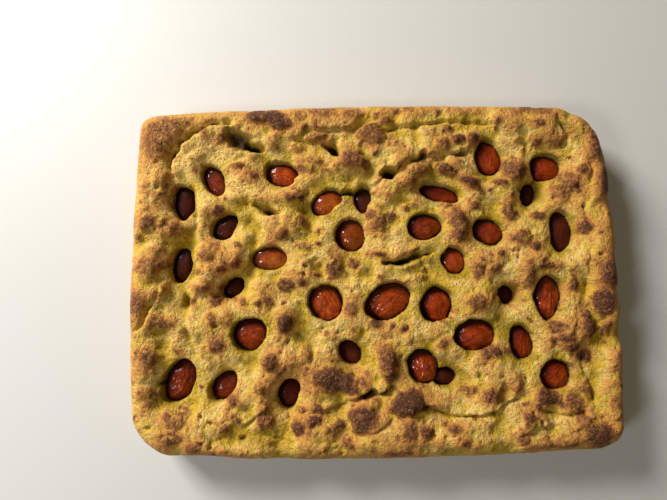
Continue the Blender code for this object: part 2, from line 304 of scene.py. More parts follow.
# Wide dark hollows and torn holes: x, y, length, width, heading, depth.
hollows = [
    (-109, 113, 27, 15, -28, 9), (-98, 108, 16, 8, -10, 12), (-33, 105, 17, 6, -28, 11),
    (-21, 68, 24, 5, 0, 9), (-84, 55, 18, 5, -35, 8), (-91, 60, 18, 10, -30, 3),
    (14, 85, 15, 10, 20, 15), (42, 101, 8, 6, 60, 9),
    (-150, 117, 22, 5, 35, 4), (-8, -92, 16, 6, 8, 11), (38, -105, 11, 5, 8, 8),
    (60, -82, 24, 16, 5, 4), (-118, -10, 24, 18, 35, 5), (133, 66, 24, 17, 65, 6),
    (110, -17, 20, 18, 0, 6), (24, 12, 34, 7, 9, 10),
    (158, -111, 16, 8, 60, 4), (165, 118, 16, 9, -60, 4), (99, -93, 17, 9, 65, 5),
]
pinholes = [  # x, y, width, depth
    (-178, 97, 4, 1.5), (-175, 76, 4, 3), (-187, 63, 3, 3), (-89, -78, 3, 3),
    (-75, -60, 3, 3), (-69, -52, 3, 3), (-61, -46, 3, 3), (-74, -20, 4, 4), (-55, -74, 3, 3),
    (-55, 9, 4, 4), (-57, 2, 4, 4), (-65, 29, 3, 3), (-18, -13, 3, 3), (174, 53, 4, 4),
    (182, 13, 4, 4), (174, -10, 4, 3), (165, -67, 4, 4), (127, 33, 3, 3), (114, 17, 3, 3),
    (118, 12, 3, 3), (-137, -127, 3, 3), (-130, -131, 3, 3), (-106, -125, 5, 4), (-130, -114, 4, 3),
    (-138, -109, 4, 4), (-147, -117, 3, 3), (-179, -115, 4, 3), (162, -110, 4, 4), (175, -112, 3, 3),
    (127, -116, 4, 4), (155, -122, 3, 3), (52, -126, 3, 3), (62, -127, 3, 3), (66, -131, 3, 3),
    (88, -137, 3, 3), (42, -121, 3, 3), (118, -83, 3, 3), (-129, -38, 3, 3),
    (1, 31, 3, 3), (-171, -83, 6, 7), (-170, 30, 4, 3), (150, 60, 4, 3),
]

# Blisters: x, y, length, width, heading, rise, and how far they are scorched.
# Up to 0.5 they are tan, about 0.7 red-brown, and from 0.9 purple-brown.
blisters = [
    (-95, 135, 17, 12, 0, 2.6, 1.15), (-78, 131, 23, 16, -15, 3.0, 1.2), (-55, 123, 7, 6, 0, 1.4, 0.8),
    (-46, 116, 15, 8, 0, 2.0, 0.6), (-63, 107, 14, 8, 20, 1.8, 0.6), (-14, 94, 25, 12, -18, 3.2, 0.7),
    (-6, 91, 9, 9, 0, 0.8, 1.0), (0, 117, 22, 15, -12, 4.6, 0.75), (4, 131, 7, 6, 0, 1.2, 0.7),
    (14, 128, 10, 6, 0, 1.4, 0.7), (-40, 136, 22, 9, 0, 1.2, 0.5), (-15, 135, 18, 8, 0, 1.2, 0.5),
    (-58, 133, 14, 8, 0, 1.2, 0.5), (-65, 66, 18, 9, 10, 2.0, 0.7), (-58, 66, 6, 6, 0, 0.8, 0.95),
    (-52, 92, 20, 14, 15, 2.2, 0.6), (-125, 115, 7, 6, 0, 1.0, 0.8), (-111, 92, 9, 6, 0, 1.2, 0.7),
    (-98, 84, 8, 6, 0, 1.0, 0.6), (66, 122, 9, 5, 0, 1.2, 0.8), (71, 112, 9, 8, 0, 2.0, 1.0),
    (84, 113, 11, 9, 0, 2.2, 0.9), (57, 108, 12, 9, 0, 2.0, 0.6), (80, 136, 20, 8, 0, 1.2, 0.5),
    (28, 137, 22, 7, 0, 1.2, 0.5), (40, 86, 22, 12, -5, 3.0, 0.5), (30, 75, 12, 10, 0, 2.0, 0.5),
    (62, 86, 20, 8, -30, 2.8, 0.9), (80, 76, 18, 8, -25, 2.8, 1.0), (104, 75, 11, 6, 0, 1.6, 0.95),
    (138, 123, 9, 7, 0, 1.6, 0.7), (136, 107, 8, 7, 0, 1.4, 0.7), (117, 85, 24, 15, -15, 2.6, 0.85),
    (172, 84, 8, 5, 60, 1.2, 0.95), (167, 69, 11, 9, 0, 1.6, 0.75), (189, 73, 12, 24, 0, 2.4, 0.75),
    (159, 72, 26, 20, 0, 1.2, 0.5),
    (135, 135, 26, 8, -5, 1.6, 0.55), (183, 102, 10, 26, 0, 1.6, 0.7), (-176, 118, 34, 24, 60, 1.6, 0.75),
    (-160, 128, 26, 12, 15, 1.2, 0.75), (-182, 46, 15, 12, 80, 2.6, 0.95), (-172, 45, 7, 7, 0, 1.4, 0.9),
    (-193, 35, 8, 10, 0, 1.4, 0.6), (-171, 12, 8, 8, 0, 1.8, 0.95), (-183, 8, 20, 18, 80, 2.4, 0.7),
    (-137, 45, 8, 7, 0, 1.2, 0.8), (-127, 56, 9, 8, 0, 1.4, 0.85), (-111, 27, 6, 5, 0, 0.9, 0.7),
    (-113, 12, 8, 9, 0, 1.2, 0.85), (-125, 8, 8, 6, 0, 1.2, 0.85), (-143, 5, 7, 6, 0, 1.2, 0.6),
    (-135, 22, 20, 16, 40, 2.0, 0.5), (-142, -10, 16, 10, 0, 2.0, 0.7), (-148, -18, 8, 8, 0, 1.4, 0.95),
    (-128, -18, 8, 8, 0, 1.4, 0.95), (-106, -20, 9, 7, 0, 1.4, 0.6), (-190, -20, 24, 15, 80, 2.8, 0.9),
    (-170, -8, 14, 7, 80, 1.8, 0.5), (-59, 46, 10, 12, 0, 1.6, 0.7), (-75, 35, 10, 10, 0, 1.6, 0.7),
    (-57, 25, 10, 8, 0, 1.4, 0.7), (-46, 36, 6, 6, 0, 1.0, 0.8), (-46, 27, 6, 5, 0, 1.0, 0.75),
    (-33, 5, 16, 12, 20, 2.4, 0.9), (-18, 10, 9, 8, 0, 1.6, 1.0), (-72, -6, 13, 11, 0, 2.2, 1.0),
    (-60, -5, 7, 6, 0, 1.0, 0.9), (-46, 2, 7, 5, 0, 0.9, 0.9), (3, 43, 13, 15, 0, 2.4, 0.7),
    (13, 47, 11, 9, 0, 1.8, 1.15), (-3, 50, 9, 8, 0, 1.4, 0.7), (30, 57, 11, 8, 0, 1.8, 0.7),
    (62, 57, 10, 6, 0, 1.4, 0.6), (69, 40, 27, 15, 100, 3.2, 0.7), (84, 57, 6, 6, 0, 1.0, 0.8),
    (3, 17, 13, 5, 0, 1.4, 0.75), (33, 20, 8, 6, 0, 1.2, 0.6), (40, -2, 10, 6, 0, 1.4, 0.7),
    (40, 5, 6, 5, 0, 1.0, 0.8), (83, 3, 9, 13, 0, 2.0, 0.9), (97, 5, 9, 6, 0, 1.4, 0.85),
    (103, 16, 6, 5, 0, 1.0, 0.8), (80, -22, 16, 12, 20, 2.2, 0.6), (0, -37, 9, 7, 0, 1.6, 1.0),
    (22, -43, 6, 7, 0, 1.4, 1.0), (52, -54, 7, 8, 0, 1.4, 0.75), (-20, -26, 12, 9, 0, 1.6, 0.6),
    (-15, -43, 8, 9, 0, 1.4, 0.6), (112, 51, 13, 16, 20, 2.6, 0.9), (120, 32, 7, 6, 0, 1.2, 0.8),
    (118, 28, 14, 8, 0, 1.4, 0.6), (129, 22, 7, 9, 0, 1.4, 0.9), (135, 47, 14, 7, 0, 1.6, 0.8),
    (172, 37, 10, 14, 0, 2.2, 0.85), (139, 6, 14, 7, 0, 1.6, 0.85), (124, -4, 10, 16, 0, 2.2, 0.7),
    (160, -10, 8, 11, 0, 1.6, 0.85), (188, -2, 16, 24, 0, 3.2, 0.7), (180, -24, 16, 22, 0, 2.8, 0.9),
    (143, -43, 13, 11, 0, 1.8, 0.8), (140, -54, 7, 6, 0, 1.2, 0.85), (150, -52, 12, 6, 0, 1.4, 0.8),
    (155, -60, 10, 7, 0, 1.4, 0.8), (165, -66, 12, 9, 0, 1.6, 0.85), (170, -42, 14, 20, 0, 2.2, 0.8),
    (183, -46, 10, 13, 0, 1.6, 0.7), (-172, -36, 14, 14, 0, 2.4, 0.9), (-178, -60, 17, 15, 0, 2.8, 1.0),
    (-191, -58, 7, 11, 0, 1.4, 0.7), (-175, -93, 8, 9, 0, 1.6, 0.95), (-127, -53, 12, 11, 0, 1.8, 0.8),
    (-131, -32, 7, 9, 0, 1.4, 0.7), (-117, -36, 6, 8, 0, 1.2, 0.6), (-95, -22, 9, 5, 0, 1.2, 0.7),
    (-86, -20, 8, 10, 0, 1.4, 0.8), (-72, -38, 13, 15, 20, 2.8, 1.1), (-57, -60, 9, 18, 0, 2.0, 0.65),
    (-86, -66, 14, 12, 60, 2.2, 0.85), (-76, -74, 12, 5, 40, 1.2, 0.8), (-93, -87, 10, 9, 0, 1.6, 0.6),
    (-32, -82, 38, 18, -8, 3.8, 1.15), (8, -70, 15, 28, 5, 2.8, 0.75), (12, -67, 8, 9, 0, 1.2, 1.0),
    (10, -80, 9, 8, 0, 1.2, 0.95), (88, -64, 9, 9, 0, 1.8, 0.8), (96, -62, 8, 7, 0, 1.4, 1.0),
    (106, -63, 10, 8, 0, 1.4, 0.8), (22, -100, 26, 18, 20, 5.0, 1.35), (-12, -110, 24, 16, 20, 3.6, 1.25),
    (-63, -118, 12, 9, 0, 2.0, 1.1), (-60, -105, 8, 7, 0, 1.4, 0.8), (-49, -113, 11, 9, 0, 1.8, 1.15),
    (-48, -102, 9, 7, 0, 1.4, 0.8), (-88, -112, 12, 19, 0, 2.2, 0.8), (-88, -127, 16, 7, 0, 1.4, 0.7),
    (-33, -117, 16, 9, 20, 2.0, 0.85), (-25, -128, 10, 13, 0, 1.8, 0.75), (22, -121, 11, 11, 0, 1.8, 0.75),
    (37, -122, 10, 8, 0, 1.4, 0.8), (58, -119, 9, 7, 0, 1.4, 0.75), (66, -130, 7, 6, 0, 1.0, 0.9),
    (15, -137, 20, 8, 0, 1.6, 0.6), (70, -92, 13, 9, 0, 1.8, 0.7), (88, -95, 13, 10, 0, 1.8, 0.75),
    (-158, -108, 19, 17, 40, 2.8, 0.85), (-160, -123, 14, 10, 0, 2.2, 1.0), (-144, -130, 12, 7, 0, 1.4, 0.7),
    (-113, -110, 9, 8, 0, 1.4, 0.7), (-120, -119, 9, 7, 0, 1.2, 0.7), (-115, -96, 9, 8, 0, 1.2, 0.6),
    (108, -90, 9, 6, 0, 1.2, 0.7), (135, -98, 22, 11, -14, 3.2, 0.95), (153, -100, 13, 10, 0, 1.8, 0.7),
    (165, -95, 11, 12, 0, 1.8, 0.65), (170, -126, 20, 18, 0, 3.2, 0.9), (116, -112, 8, 8, 0, 1.4, 0.7),
    (110, -127, 11, 8, 0, 1.4, 0.65), (140, -133, 26, 8, 0, 1.4, 0.55), (158, -115, 9, 14, 20, 1.6, 0.55),
    (-161, 38, 14, 15, 0, 0.6, 0.75), (158, 95, 12, 10, 0, 2.4, 0.1), (150, 108, 14, 9, 0, 1.6, 0.3),
    (-146, 98, 20, 16, 30, 2.4, 0.0),
]
puffs = {  # the lumps of the whole top: size and rise of each kind
    "swells": [(70, 1.4, 11), (34, 2.6, 12)],
    "cushions": [(25, 7.6, 21, 0.9), (14, 3.6, 22, 0.8), (7.5, 1.4, 23, 0.6), (4.3, 0.75, 24, 0.4)],
    "grain": [(5.0, 0.4, 31), (2.8, 0.35, 32)],
    "beads": {"size": 3.4, "rise": 1.0, "brown": 0.8, "seed": 25},  # tiny bubbles on the blisters
    "bend": [(18, 2.0, 41), (8, 0.9, 43)],
    "calm": [(-186, 124, 30), (-140, 106, 26), (-176, 104, 16)],  # nearly smooth patches: x, y, reach
    "between": 1.0,  # how far the dough away from the tomatoes stands up
    "ceiling": 40.5, "squeeze": 0.6,  # what stands above the ceiling is pressed down by this share
}
lips = {  # dough that laps over a tomato: direction and half width in degrees, share covered
    3: [(-22, 13, 0.18)],
    4: [(-10, 30, 0.12)],
    6: [(-35, 34, 0.34)],
    7: [(-138, 40, 0.36), (-38, 36, 0.28)],
    8: [(10, 45, 0.16)],
    10: [(-60, 30, 0.15), (150, 30, 0.15)],
    17: [(-50, 30, 0.18)],
    18: [(-10, 40, 0.18), (-135, 30, 0.14)],
    19: [(140, 30, 0.20), (45, 25, 0.12)],
    21: [(-80, 35, 0.22)],
    24: [(140, 30, 0.15)],
    28: [(-145, 40, 0.28)],
}
pits = {
    "mouth": 1.0,  # how far out on the tomato the dough meets it
    "ragged": 0.13,  # how uneven that line is
    "over": 1.6,  # how far the dough beside a tomato stands above it
    "deepest": 8.0, "dipWidth": 15.0,  # of the dip around each pit
    "wall": 2.0, "lean": 0.8,  # width of the pit's wall, and how far it hangs over
    "gap": 0.35,  # below the tomato
}
shakes = {  # what makes folds, hollows and blisters uneven: amount, size and seed
    "foldX": (0.7, 3.5, 48), "foldY": (0.7, 3.5, 49), "foldDepth": (0.7, 9, 47),
    "hollow": (0.22, 4.5, 45), "blister": (0.18, 7.0, 46),
}
paintedShades = {"fold": 0.72, "hollow": 1.0, "pore": 0.6, "pinhole": 0.8, "pit": 0.5}  # painted shade: the darkest each kind of crease, hole, pore and tomato gap gets
oven = {"right": 0.36, "left": 0.25, "starts": 95, "ends": 190}  # browner on the right, paler on the left
scatterSeed = 8  # of the bubbles and pores, which are set at random all over the top
bubbles = {
    "count": 460, "spanX": (-192, 192), "spanY": (-138, 138),
    "length": (3.5, 9.5), "width": (3.0, 7.0), "rise": (0.4, 1.3), "burn": (0.2, 0.85),
}
pores = {
    "count": 700, "spanX": (-194, 194), "spanY": (-140, 140),
    "width": (1.6, 3.6), "depth": (0.6, 2.0),
}


def shaken(kind, x, y):
    amount, size, seed = shakes[kind]
    return amount * waves(x, y, size, seed)


def foldAt(x, y, fold):  # how far a fold sinks, lifts and pushes the points near it
    depth, wall, reach, lip, hang, points = fold
    best = np.full(x.shape, 1e9)
    side, run = np.zeros(x.shape), np.zeros(x.shape)
    outX, outY = np.zeros(x.shape), np.zeros(x.shape)
    length = 0.0
    for (ax, ay), (bx, by) in zip(points, points[1:]):
        stretch = math.hypot(bx - ax, by - ay)
        alongX, alongY = (bx - ax) / stretch, (by - ay) / stretch
        along = np.clip((x - ax) * alongX + (y - ay) * alongY, 0, stretch)
        awayX, awayY = x - ax - along * alongX, y - ay - along * alongY
        away = np.hypot(awayX, awayY)
        closer = away < best
        left = alongX * awayY - alongY * awayX
        best = np.where(closer, away, best)
        side = np.where(closer, np.sign(left), side)
        run = np.where(closer, length + along, run)
        outX, outY = np.where(closer, -alongY, outX), np.where(closer, alongX, outY)
        length += stretch
    fading = ease(run, -2, 11) * ease(length - run, -2, 11)
    fading *= np.clip(0.85 + shaken("foldDepth", run, run * 0 + points[0][0]), 0.2, 1.1)
    signed = best * np.where(side == 0, 1, side)
    slope = np.clip(-signed / reach, 0, 1)
    rise = np.where(signed > 0, ease(signed, 0, wall), 1 - (1 - slope) ** 2.2)
    beyond = ease(best, reach, reach + 4)
    sunk = depth * (1 - rise) * fading
    rolled = np.where(signed > 0, bell(signed - wall - 2.2, 3.2), 0)
    lifted = lip * rolled * fading * (1 - beyond)
    hangsOver = np.where(signed > 0, bell(signed - wall, 3.4), bell(signed, 1.5) * bell(wall, 3.4))
    hung = 0.7 * hang * hangsOver * fading
    return sunk, lifted, -outX * hung, -outY * hung


def baking(x):  # how much browner or paler than its middle the loaf is towards its ends
    right, left = ease(x, oven["starts"], oven["ends"]), ease(-x, oven["starts"], oven["ends"])
    return 1 + oven["right"] * right - oven["left"] * left


def topOf(x, y):  # the top's shape: shifted x and y, height, and the masks that colour it
    inside = distanceToEdge(x, y)
    bendX, bendY = np.zeros(x.shape), np.zeros(x.shape)
    for size, reach, seed in puffs["bend"]:
        bendX += reach * waves(x, y, size, seed)
        bendY += reach * waves(x, y, size, seed + 1)
    wx, wy = x + bendX, y + bendY
    level = slab["rimLevel"] - (slab["rimLevel"] - slab["middleLevel"]) * ease(
        inside, slab["rimRounding"], slab["rimInner"])
    for size, rise, seed in puffs["swells"]:
        level += rise * waves(x, y, size, seed)
    lumps, crest = np.zeros(x.shape), np.zeros(x.shape)
    for size, rise, seed, weight in puffs["cushions"]:
        share = 0.6 + 0.6 * ease(waves(x, y, size * 4, seed + 50), -0.5, 0.6)
        lump = share * (cushions(wx, wy, size, seed) - 0.75)
        lumps += rise * lump
        crest += weight * lump
    calm = np.zeros(x.shape)
    for middleX, middleY, reach in puffs["calm"]:
        calm = np.maximum(calm, bell(np.hypot(x - middleX, y - middleY), reach))
    level += lumps * (1 - 0.8 * calm)
    crest = crest * (1 - calm) + 0.2 * calm
    apart = np.full(x.shape, 1e9)
    for tomato in tomatoes:
        reach = (tomato["length"] + tomato["width"]) / 2
        apart = np.minimum(apart, np.hypot(x - tomato["x"], y - tomato["y"]) - reach)
    level += puffs["between"] * ease(apart, 6, 26)
    scorch, halo = np.zeros(x.shape), np.zeros(x.shape)
    oilAndShade, dark = np.zeros(x.shape), np.zeros(x.shape)
    pushX, pushY = np.zeros(x.shape), np.zeros(x.shape)

    for fold in folds:
        depth, _, slope, _, _, points = fold
        xs, ys = zip(*points)
        reach = max(max(xs) - min(xs), max(ys) - min(ys)) / 2 + slope + 6
        spot = near(wx, wy, (max(xs) + min(xs)) / 2, (max(ys) + min(ys)) / 2, reach)
        foldX = wx[spot] + shaken("foldX", x[spot], y[spot])
        foldY = wy[spot] + shaken("foldY", x[spot], y[spot])
        sunk, lifted, hungX, hungY = foldAt(foldX, foldY, fold)
        level[spot] += lifted - sunk
        pushX[spot] += hungX
        pushY[spot] += hungY
        oilAndShade[spot] = np.maximum(oilAndShade[spot], ease(sunk, 2.5, 9.0))
        steep = ease(depth, 3.0, 7.0) * ease(depth / slope, 0.55, 0.9)  # painted shade: narrow deep creases darken towards their bottom, broad valleys stay light
        dark[spot] = np.maximum(dark[spot], paintedShades["fold"] * steep * ease(sunk / depth, 0.4, 0.95))
        # sunk ground gets less painted highlight, more olive painted shade and less browning
        crest[spot] -= 0.4 * ease(sunk, 0.5, 5.0)

    for middleX, middleY, length, width, heading, depth in hollows:
        spot = near(wx, wy, middleX, middleY, length)
        share = ovalShare(wx[spot], wy[spot], middleX, middleY, length, width, heading)
        share *= 1 + shaken("hollow", x[spot], y[spot])
        level[spot] -= depth * (1 - ease(share, 0.45, 1.25))
        oilAndShade[spot] = np.maximum(oilAndShade[spot], 1 - ease(share, 0.6, 1.6))
        # painted shade: the deep middle of each hollow or torn hole darkens
        paintedShade = paintedShades["hollow"] * ease(depth, 3, 11)
        dark[spot] = np.maximum(dark[spot], paintedShade * (1 - ease(share, 0.3, 1.2)))

    for middleX, middleY, length, width, heading, rise, burn in blisters:
        spot = near(wx, wy, middleX, middleY, max(length, width) * 1.6 + 4)
        share = ovalShare(wx[spot], wy[spot], middleX, middleY, length, width, heading)
        share *= 1 + shaken("blister", x[spot], y[spot])
        level[spot] += 1.7 * rise * np.clip(1 - (share / 1.15) ** 2, 0, 1) ** 0.9
        scorch[spot] = np.maximum(scorch[spot], burn * (1 - ease(share, 0.55, 1.5)))
        halo[spot] = np.maximum(halo[spot], math.sqrt(burn) * (1 - ease(share, 0.7, 2.7)))

    rng = np.random.default_rng(scatterSeed)
    for _ in range(bubbles["count"]):
        middleX, middleY = rng.uniform(*bubbles["spanX"]), rng.uniform(*bubbles["spanY"])
        length, width = rng.uniform(*bubbles["length"]), rng.uniform(*bubbles["width"])
        heading = rng.uniform(0, 180)
        rise, burn = rng.uniform(*bubbles["rise"]), rng.uniform(*bubbles["burn"])
        spot = near(wx, wy, middleX, middleY, length)
        share = ovalShare(wx[spot], wy[spot], middleX, middleY, length, width, heading)
        level[spot] += rise * np.clip(1 - share ** 2, 0, 1)
        scorch[spot] = np.maximum(scorch[spot], burn * (1 - ease(share, 0.2, 1.2)))
        halo[spot] = np.maximum(halo[spot], burn * (1 - ease(share, 0.5, 1.8)))

    for _ in range(pores["count"]):
        middleX, middleY = rng.uniform(*pores["spanX"]), rng.uniform(*pores["spanY"])
        width, depth = rng.uniform(*pores["width"]), rng.uniform(*pores["depth"])
        spot = near(wx, wy, middleX, middleY, width)
        share = ovalShare(wx[spot], wy[spot], middleX, middleY, width, width, 0)
        level[spot] -= depth * (1 - ease(share, 0.2, 1.1))
        # painted shade: each pore darkens in its middle
        dark[spot] = np.maximum(dark[spot], paintedShades["pore"] * (1 - ease(share, 0.1, 1.0)))

    for middleX, middleY, width, depth in pinholes:
        spot = near(wx, wy, middleX, middleY, width * 2)
        share = ovalShare(wx[spot], wy[spot], middleX, middleY, width * 1.1, width * 0.8, middleX * 7)
        level[spot] -= depth * (1 - ease(share, 0.4, 1.4))
        # painted shade: each pinhole darkens in its middle
        paintedShade = paintedShades["pinhole"] * ease(depth, 2.0, 6.0)
        dark[spot] = np.maximum(dark[spot], paintedShade * (1 - ease(share, 0.4, 1.2)))

    scorch *= baking(x)
    halo *= baking(x)
    beads = cushions(wx, wy, puffs["beads"]["size"], puffs["beads"]["seed"]) - 0.7
    level += puffs["beads"]["rise"] * beads * np.clip(scorch, 0, 1)
    crest += puffs["beads"]["brown"] * beads * np.clip(scorch, 0, 1)
    for size, rise, seed in puffs["grain"]:
        level += rise * waves(x, y, size, seed)

    level -= puffs["squeeze"] * np.maximum(level - puffs["ceiling"], 0)

    leanX, leanY = np.zeros(x.shape), np.zeros(x.shape)
    for index, tomato in enumerate(tomatoes):
        level, hold, lean = pressIn(x, y, level, tomato, index, oilAndShade, dark, crest)
        pushX *= hold
        pushY *= hold
        away = np.maximum(np.hypot(x - tomato["x"], y - tomato["y"]), 1e-6)
        leanX -= lean * (x - tomato["x"]) / away
        leanY -= lean * (y - tomato["y"]) / away
    level = np.maximum(level, 6.0)
    pushX += leanX
    pushY += leanY

    crest = np.maximum(crest, -0.8)
    masks = {"scorch": scorch, "halo": halo, "oilAndShade": oilAndShade, "dark": dark, "crest": crest}
    shoulder = 1 - np.clip(inside / slab["rimRounding"], 0, 1)
    z = slab["edgeLevel"] + (level - slab["edgeLevel"]) * np.sqrt(1 - shoulder ** 2)
    return x + pushX, y + pushY, z, masks


def pressIn(x, y, level, tomato, index, oilAndShade, dark, crest):  # the dip and pit that a tomato sits in
    cos, sin = math.cos(tomato["heading"]), math.sin(tomato["heading"])
    along = (x - tomato["x"]) * cos + (y - tomato["y"]) * sin
    across = (y - tomato["y"]) * cos - (x - tomato["x"]) * sin
    share = np.hypot(along / tomato["length"], across / tomato["width"])
    away = np.hypot(along, across)
    bearing = np.arctan2(across, along)
    rng = np.random.default_rng(index + 100)
    wobble = 0
    for bends in (2, 3, 5, 8, 13):
        wobble = wobble + rng.uniform(-1, 1) * np.cos(bends * bearing + rng.uniform(0, 6.3)) / bends
    mouth = pits["mouth"] + pits["ragged"] * wobble
    for heading, spread, covered in lips.get(index + 1, []):
        turned = bearing + tomato["heading"] - math.radians(heading)
        turned = np.degrees(np.arctan2(np.sin(turned), np.cos(turned)))
        mouth = mouth - covered * bell(turned, spread)
    out = away - away / np.maximum(share, 1e-6) * mouth
    top = tomato["z"] + tomato["height"]
    hold = ease(out, -4, pits["dipWidth"]) ** 0.8
    drop = np.clip(top + pits["over"] - level, -pits["deepest"], 0)
    level = level + drop * (1 - hold)
    climb = np.clip(out / (pits["wall"] * (1 + 0.3 * wobble)), 0, 1)
    climb = np.sqrt(np.clip(1 - (1 - climb) ** 2.4, 0, 1))
    foot = tomato["z"] + tomato["height"] * np.sqrt(np.clip(1 - mouth ** 2, 0, 1))
    floor = tomato["z"] - tomato["height"] * np.sqrt(np.clip(1 - share ** 2, 0, 1)) - pits["gap"]
    pit = np.where(out > 0, foot + (level - foot) * climb, floor)
    # oil and painted shade: a glossier, olive ring around the tomato
    oilAndShade[:] = np.maximum(oilAndShade, 0.45 * (1 - ease(out, 0.5, 6.0)))
    # the dough next to the tomato gets less painted highlight, more olive painted shade and less browning
    crest -= 0.25 * (1 - ease(out, 0.0, 10.0))
    # painted shade: a dark ring where the dough meets the tomato
    dark[:] = np.maximum(dark, paintedShades["pit"] * (1 - ease(out, -1.0, 0.2)))
    lean = pits["lean"] * np.where(out > 0, bell(out - pits["wall"] * 0.7, 1.8), 0)
    return pit, ease(out, 0, 3), lean


sides = {  # heights of the rings below the top's edge, and how far each is drawn in
    "levels": [18.0, 15.5, 13.0, 10.5, 8.0, 5.8, 4.0, 2.6, 1.4, 0.5, 0.0],
    "drawnIn": [0.2, 0.5, 1.0, 1.5, 2.1, 2.7, 3.3, 4.0, 5.0, 6.4, 8.2],
    "creases": 1.3,
    "turn": 160,  # about the slab's mean radius, which makes an angle into a length
    "browning": 1.3,  # how much browner the foot of the sides is
}


def outwards(x, y):  # the direction out of the slab, from how the distance to its edge falls
    step = 0.5
    outX = distanceToEdge(x - step, y) - distanceToEdge(x + step, y)
    outY = distanceToEdge(x, y - step) - distanceToEdge(x, y + step)
    size = np.maximum(np.hypot(outX, outY), 1e-9)
    return outX / size, outY / size


def lengthAround(x, y):  # how far round the slab a point is
    return np.arctan2(y / slab["halfWidth"], x / slab["halfLength"]) * sides["turn"]


def edgeShift(x, y, inside):  # how far the outline is pushed out or in near (x, y)
    turn = lengthAround(x, y)
    shift = 0.9 * waves(turn, turn * 0, 19, 61) + 0.5 * waves(turn, turn * 0, 8, 62) - 0.6
    for middleX, middleY, push, reach in edgePushes:
        shift += push * bell(np.hypot(x - middleX, y - middleY), reach)
    return shift * bell(np.maximum(inside, 0), 16)


def writeMask(mesh, name, values):  # a number at each point, for a material to read
    mesh.attributes.new(name, "FLOAT", "POINT").data.foreach_set("value", values.astype(np.float32))


def makeLoaf():
    bm = bmesh.new()
    cellsLong = round(slab["halfLength"] * 2 / slab["gap"])
    cellsWide = round(slab["halfWidth"] * 2 / slab["gap"])
    bmesh.ops.create_grid(bm, x_segments=cellsLong, y_segments=cellsWide, size=1.0)
    topCount = len(bm.verts)
    for _ in sides["levels"]:
        rim = [edge for edge in bm.edges if edge.is_boundary]
        bmesh.ops.extrude_edge_only(bm, edges=rim)
    rim = [edge for edge in bm.edges if edge.is_boundary]
    bmesh.ops.edgeloop_fill(bm, edges=rim)
    bm.verts.index_update()
    grid = np.array([vert.co[:2] for vert in bm.verts])
    x, y = footprint(grid[:, 0], grid[:, 1])
    rings = np.zeros(len(grid), int)
    rimCount = (len(grid) - topCount) // len(sides["levels"])
    rings[topCount:] = 1 + np.arange(len(grid) - topCount) // rimCount

    outX, outY = outwards(x, y)
    inside = distanceToEdge(x, y)
    shift = edgeShift(x, y, inside)
    x, y = x + outX * shift, y + outY * shift
    top = rings == 0
    topX, topY, topZ, masks = topOf(x[top], y[top])
    px, py, pz = x.copy(), y.copy(), np.zeros(len(x))
    px[top], py[top], pz[top] = topX, topY, topZ
    turn = lengthAround(x, y)
    for ring, (ringLevel, drawn) in enumerate(zip(sides["levels"], sides["drawnIn"]), start=1):
        here = rings == ring
        fadeIn = ease(np.array(float(ring)), 0, 3) * ease(np.array(ringLevel), -0.5, 3)
        rough = waves(turn[here], turn[here] * 0 + ringLevel * 1.6, 9, 71) * sides["creases"]
        rough += 0.5 * waves(turn[here], turn[here] * 0 + ringLevel, 4, 72) * sides["creases"]
        moved = -drawn + rough * fadeIn
        px[here] = x[here] + outX[here] * moved
        py[here] = y[here] + outY[here] * moved
        pz[here] = ringLevel
    bmesh.ops.recalc_face_normals(bm, faces=bm.faces)
    bmesh.ops.triangulate(bm, faces=[face for face in bm.faces if len(face.verts) > 4])
    mesh = bpy.data.meshes.new("loaf")
    bm.to_mesh(mesh)
    bm.free()
    mesh.vertices.foreach_set("co", (np.stack([px, py, pz], 1) * mm).ravel().astype(np.float32))
    for name, values in masks.items():
        whole = np.zeros(len(x))
        whole[top] = values
        writeMask(mesh, name, whole)
    rimBrown = baking(x) ** 2 * (1 - ease(np.where(top, inside, 0), 4, 30))
    writeMask(mesh, "rim", rimBrown + sides["browning"] * (1 - ease(pz, 4, 24)))
    writeMask(mesh, "under", 1 - ease(pz, 0.3, 9.0))
    mesh.shade_smooth()
    mesh.update()
    return mesh


def addPiece(name, mesh, material, node):
    obj = bpy.data.objects.new(name, mesh)
    bpy.context.scene.collection.objects.link(obj)
    mesh.materials.append(material)
    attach(obj, "root")
    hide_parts(node)
    return obj


# pale is painted highlight, olive and the hole colour are painted shade; tan, rust, purple and baked are the
# crust's own browning
crust = {
    "pale": (1.0, 0.82, 0.37), "yellow": (0.62, 0.39, 0.040), "olive": (0.30, 0.19, 0.005),
    "tan": (0.58, 0.275, 0.060), "rust": (0.31, 0.118, 0.040), "purple": (0.070, 0.026, 0.017),
    "holeShade": (0.030, 0.018, 0.003), "baked": (0.42, 0.20, 0.045),
}


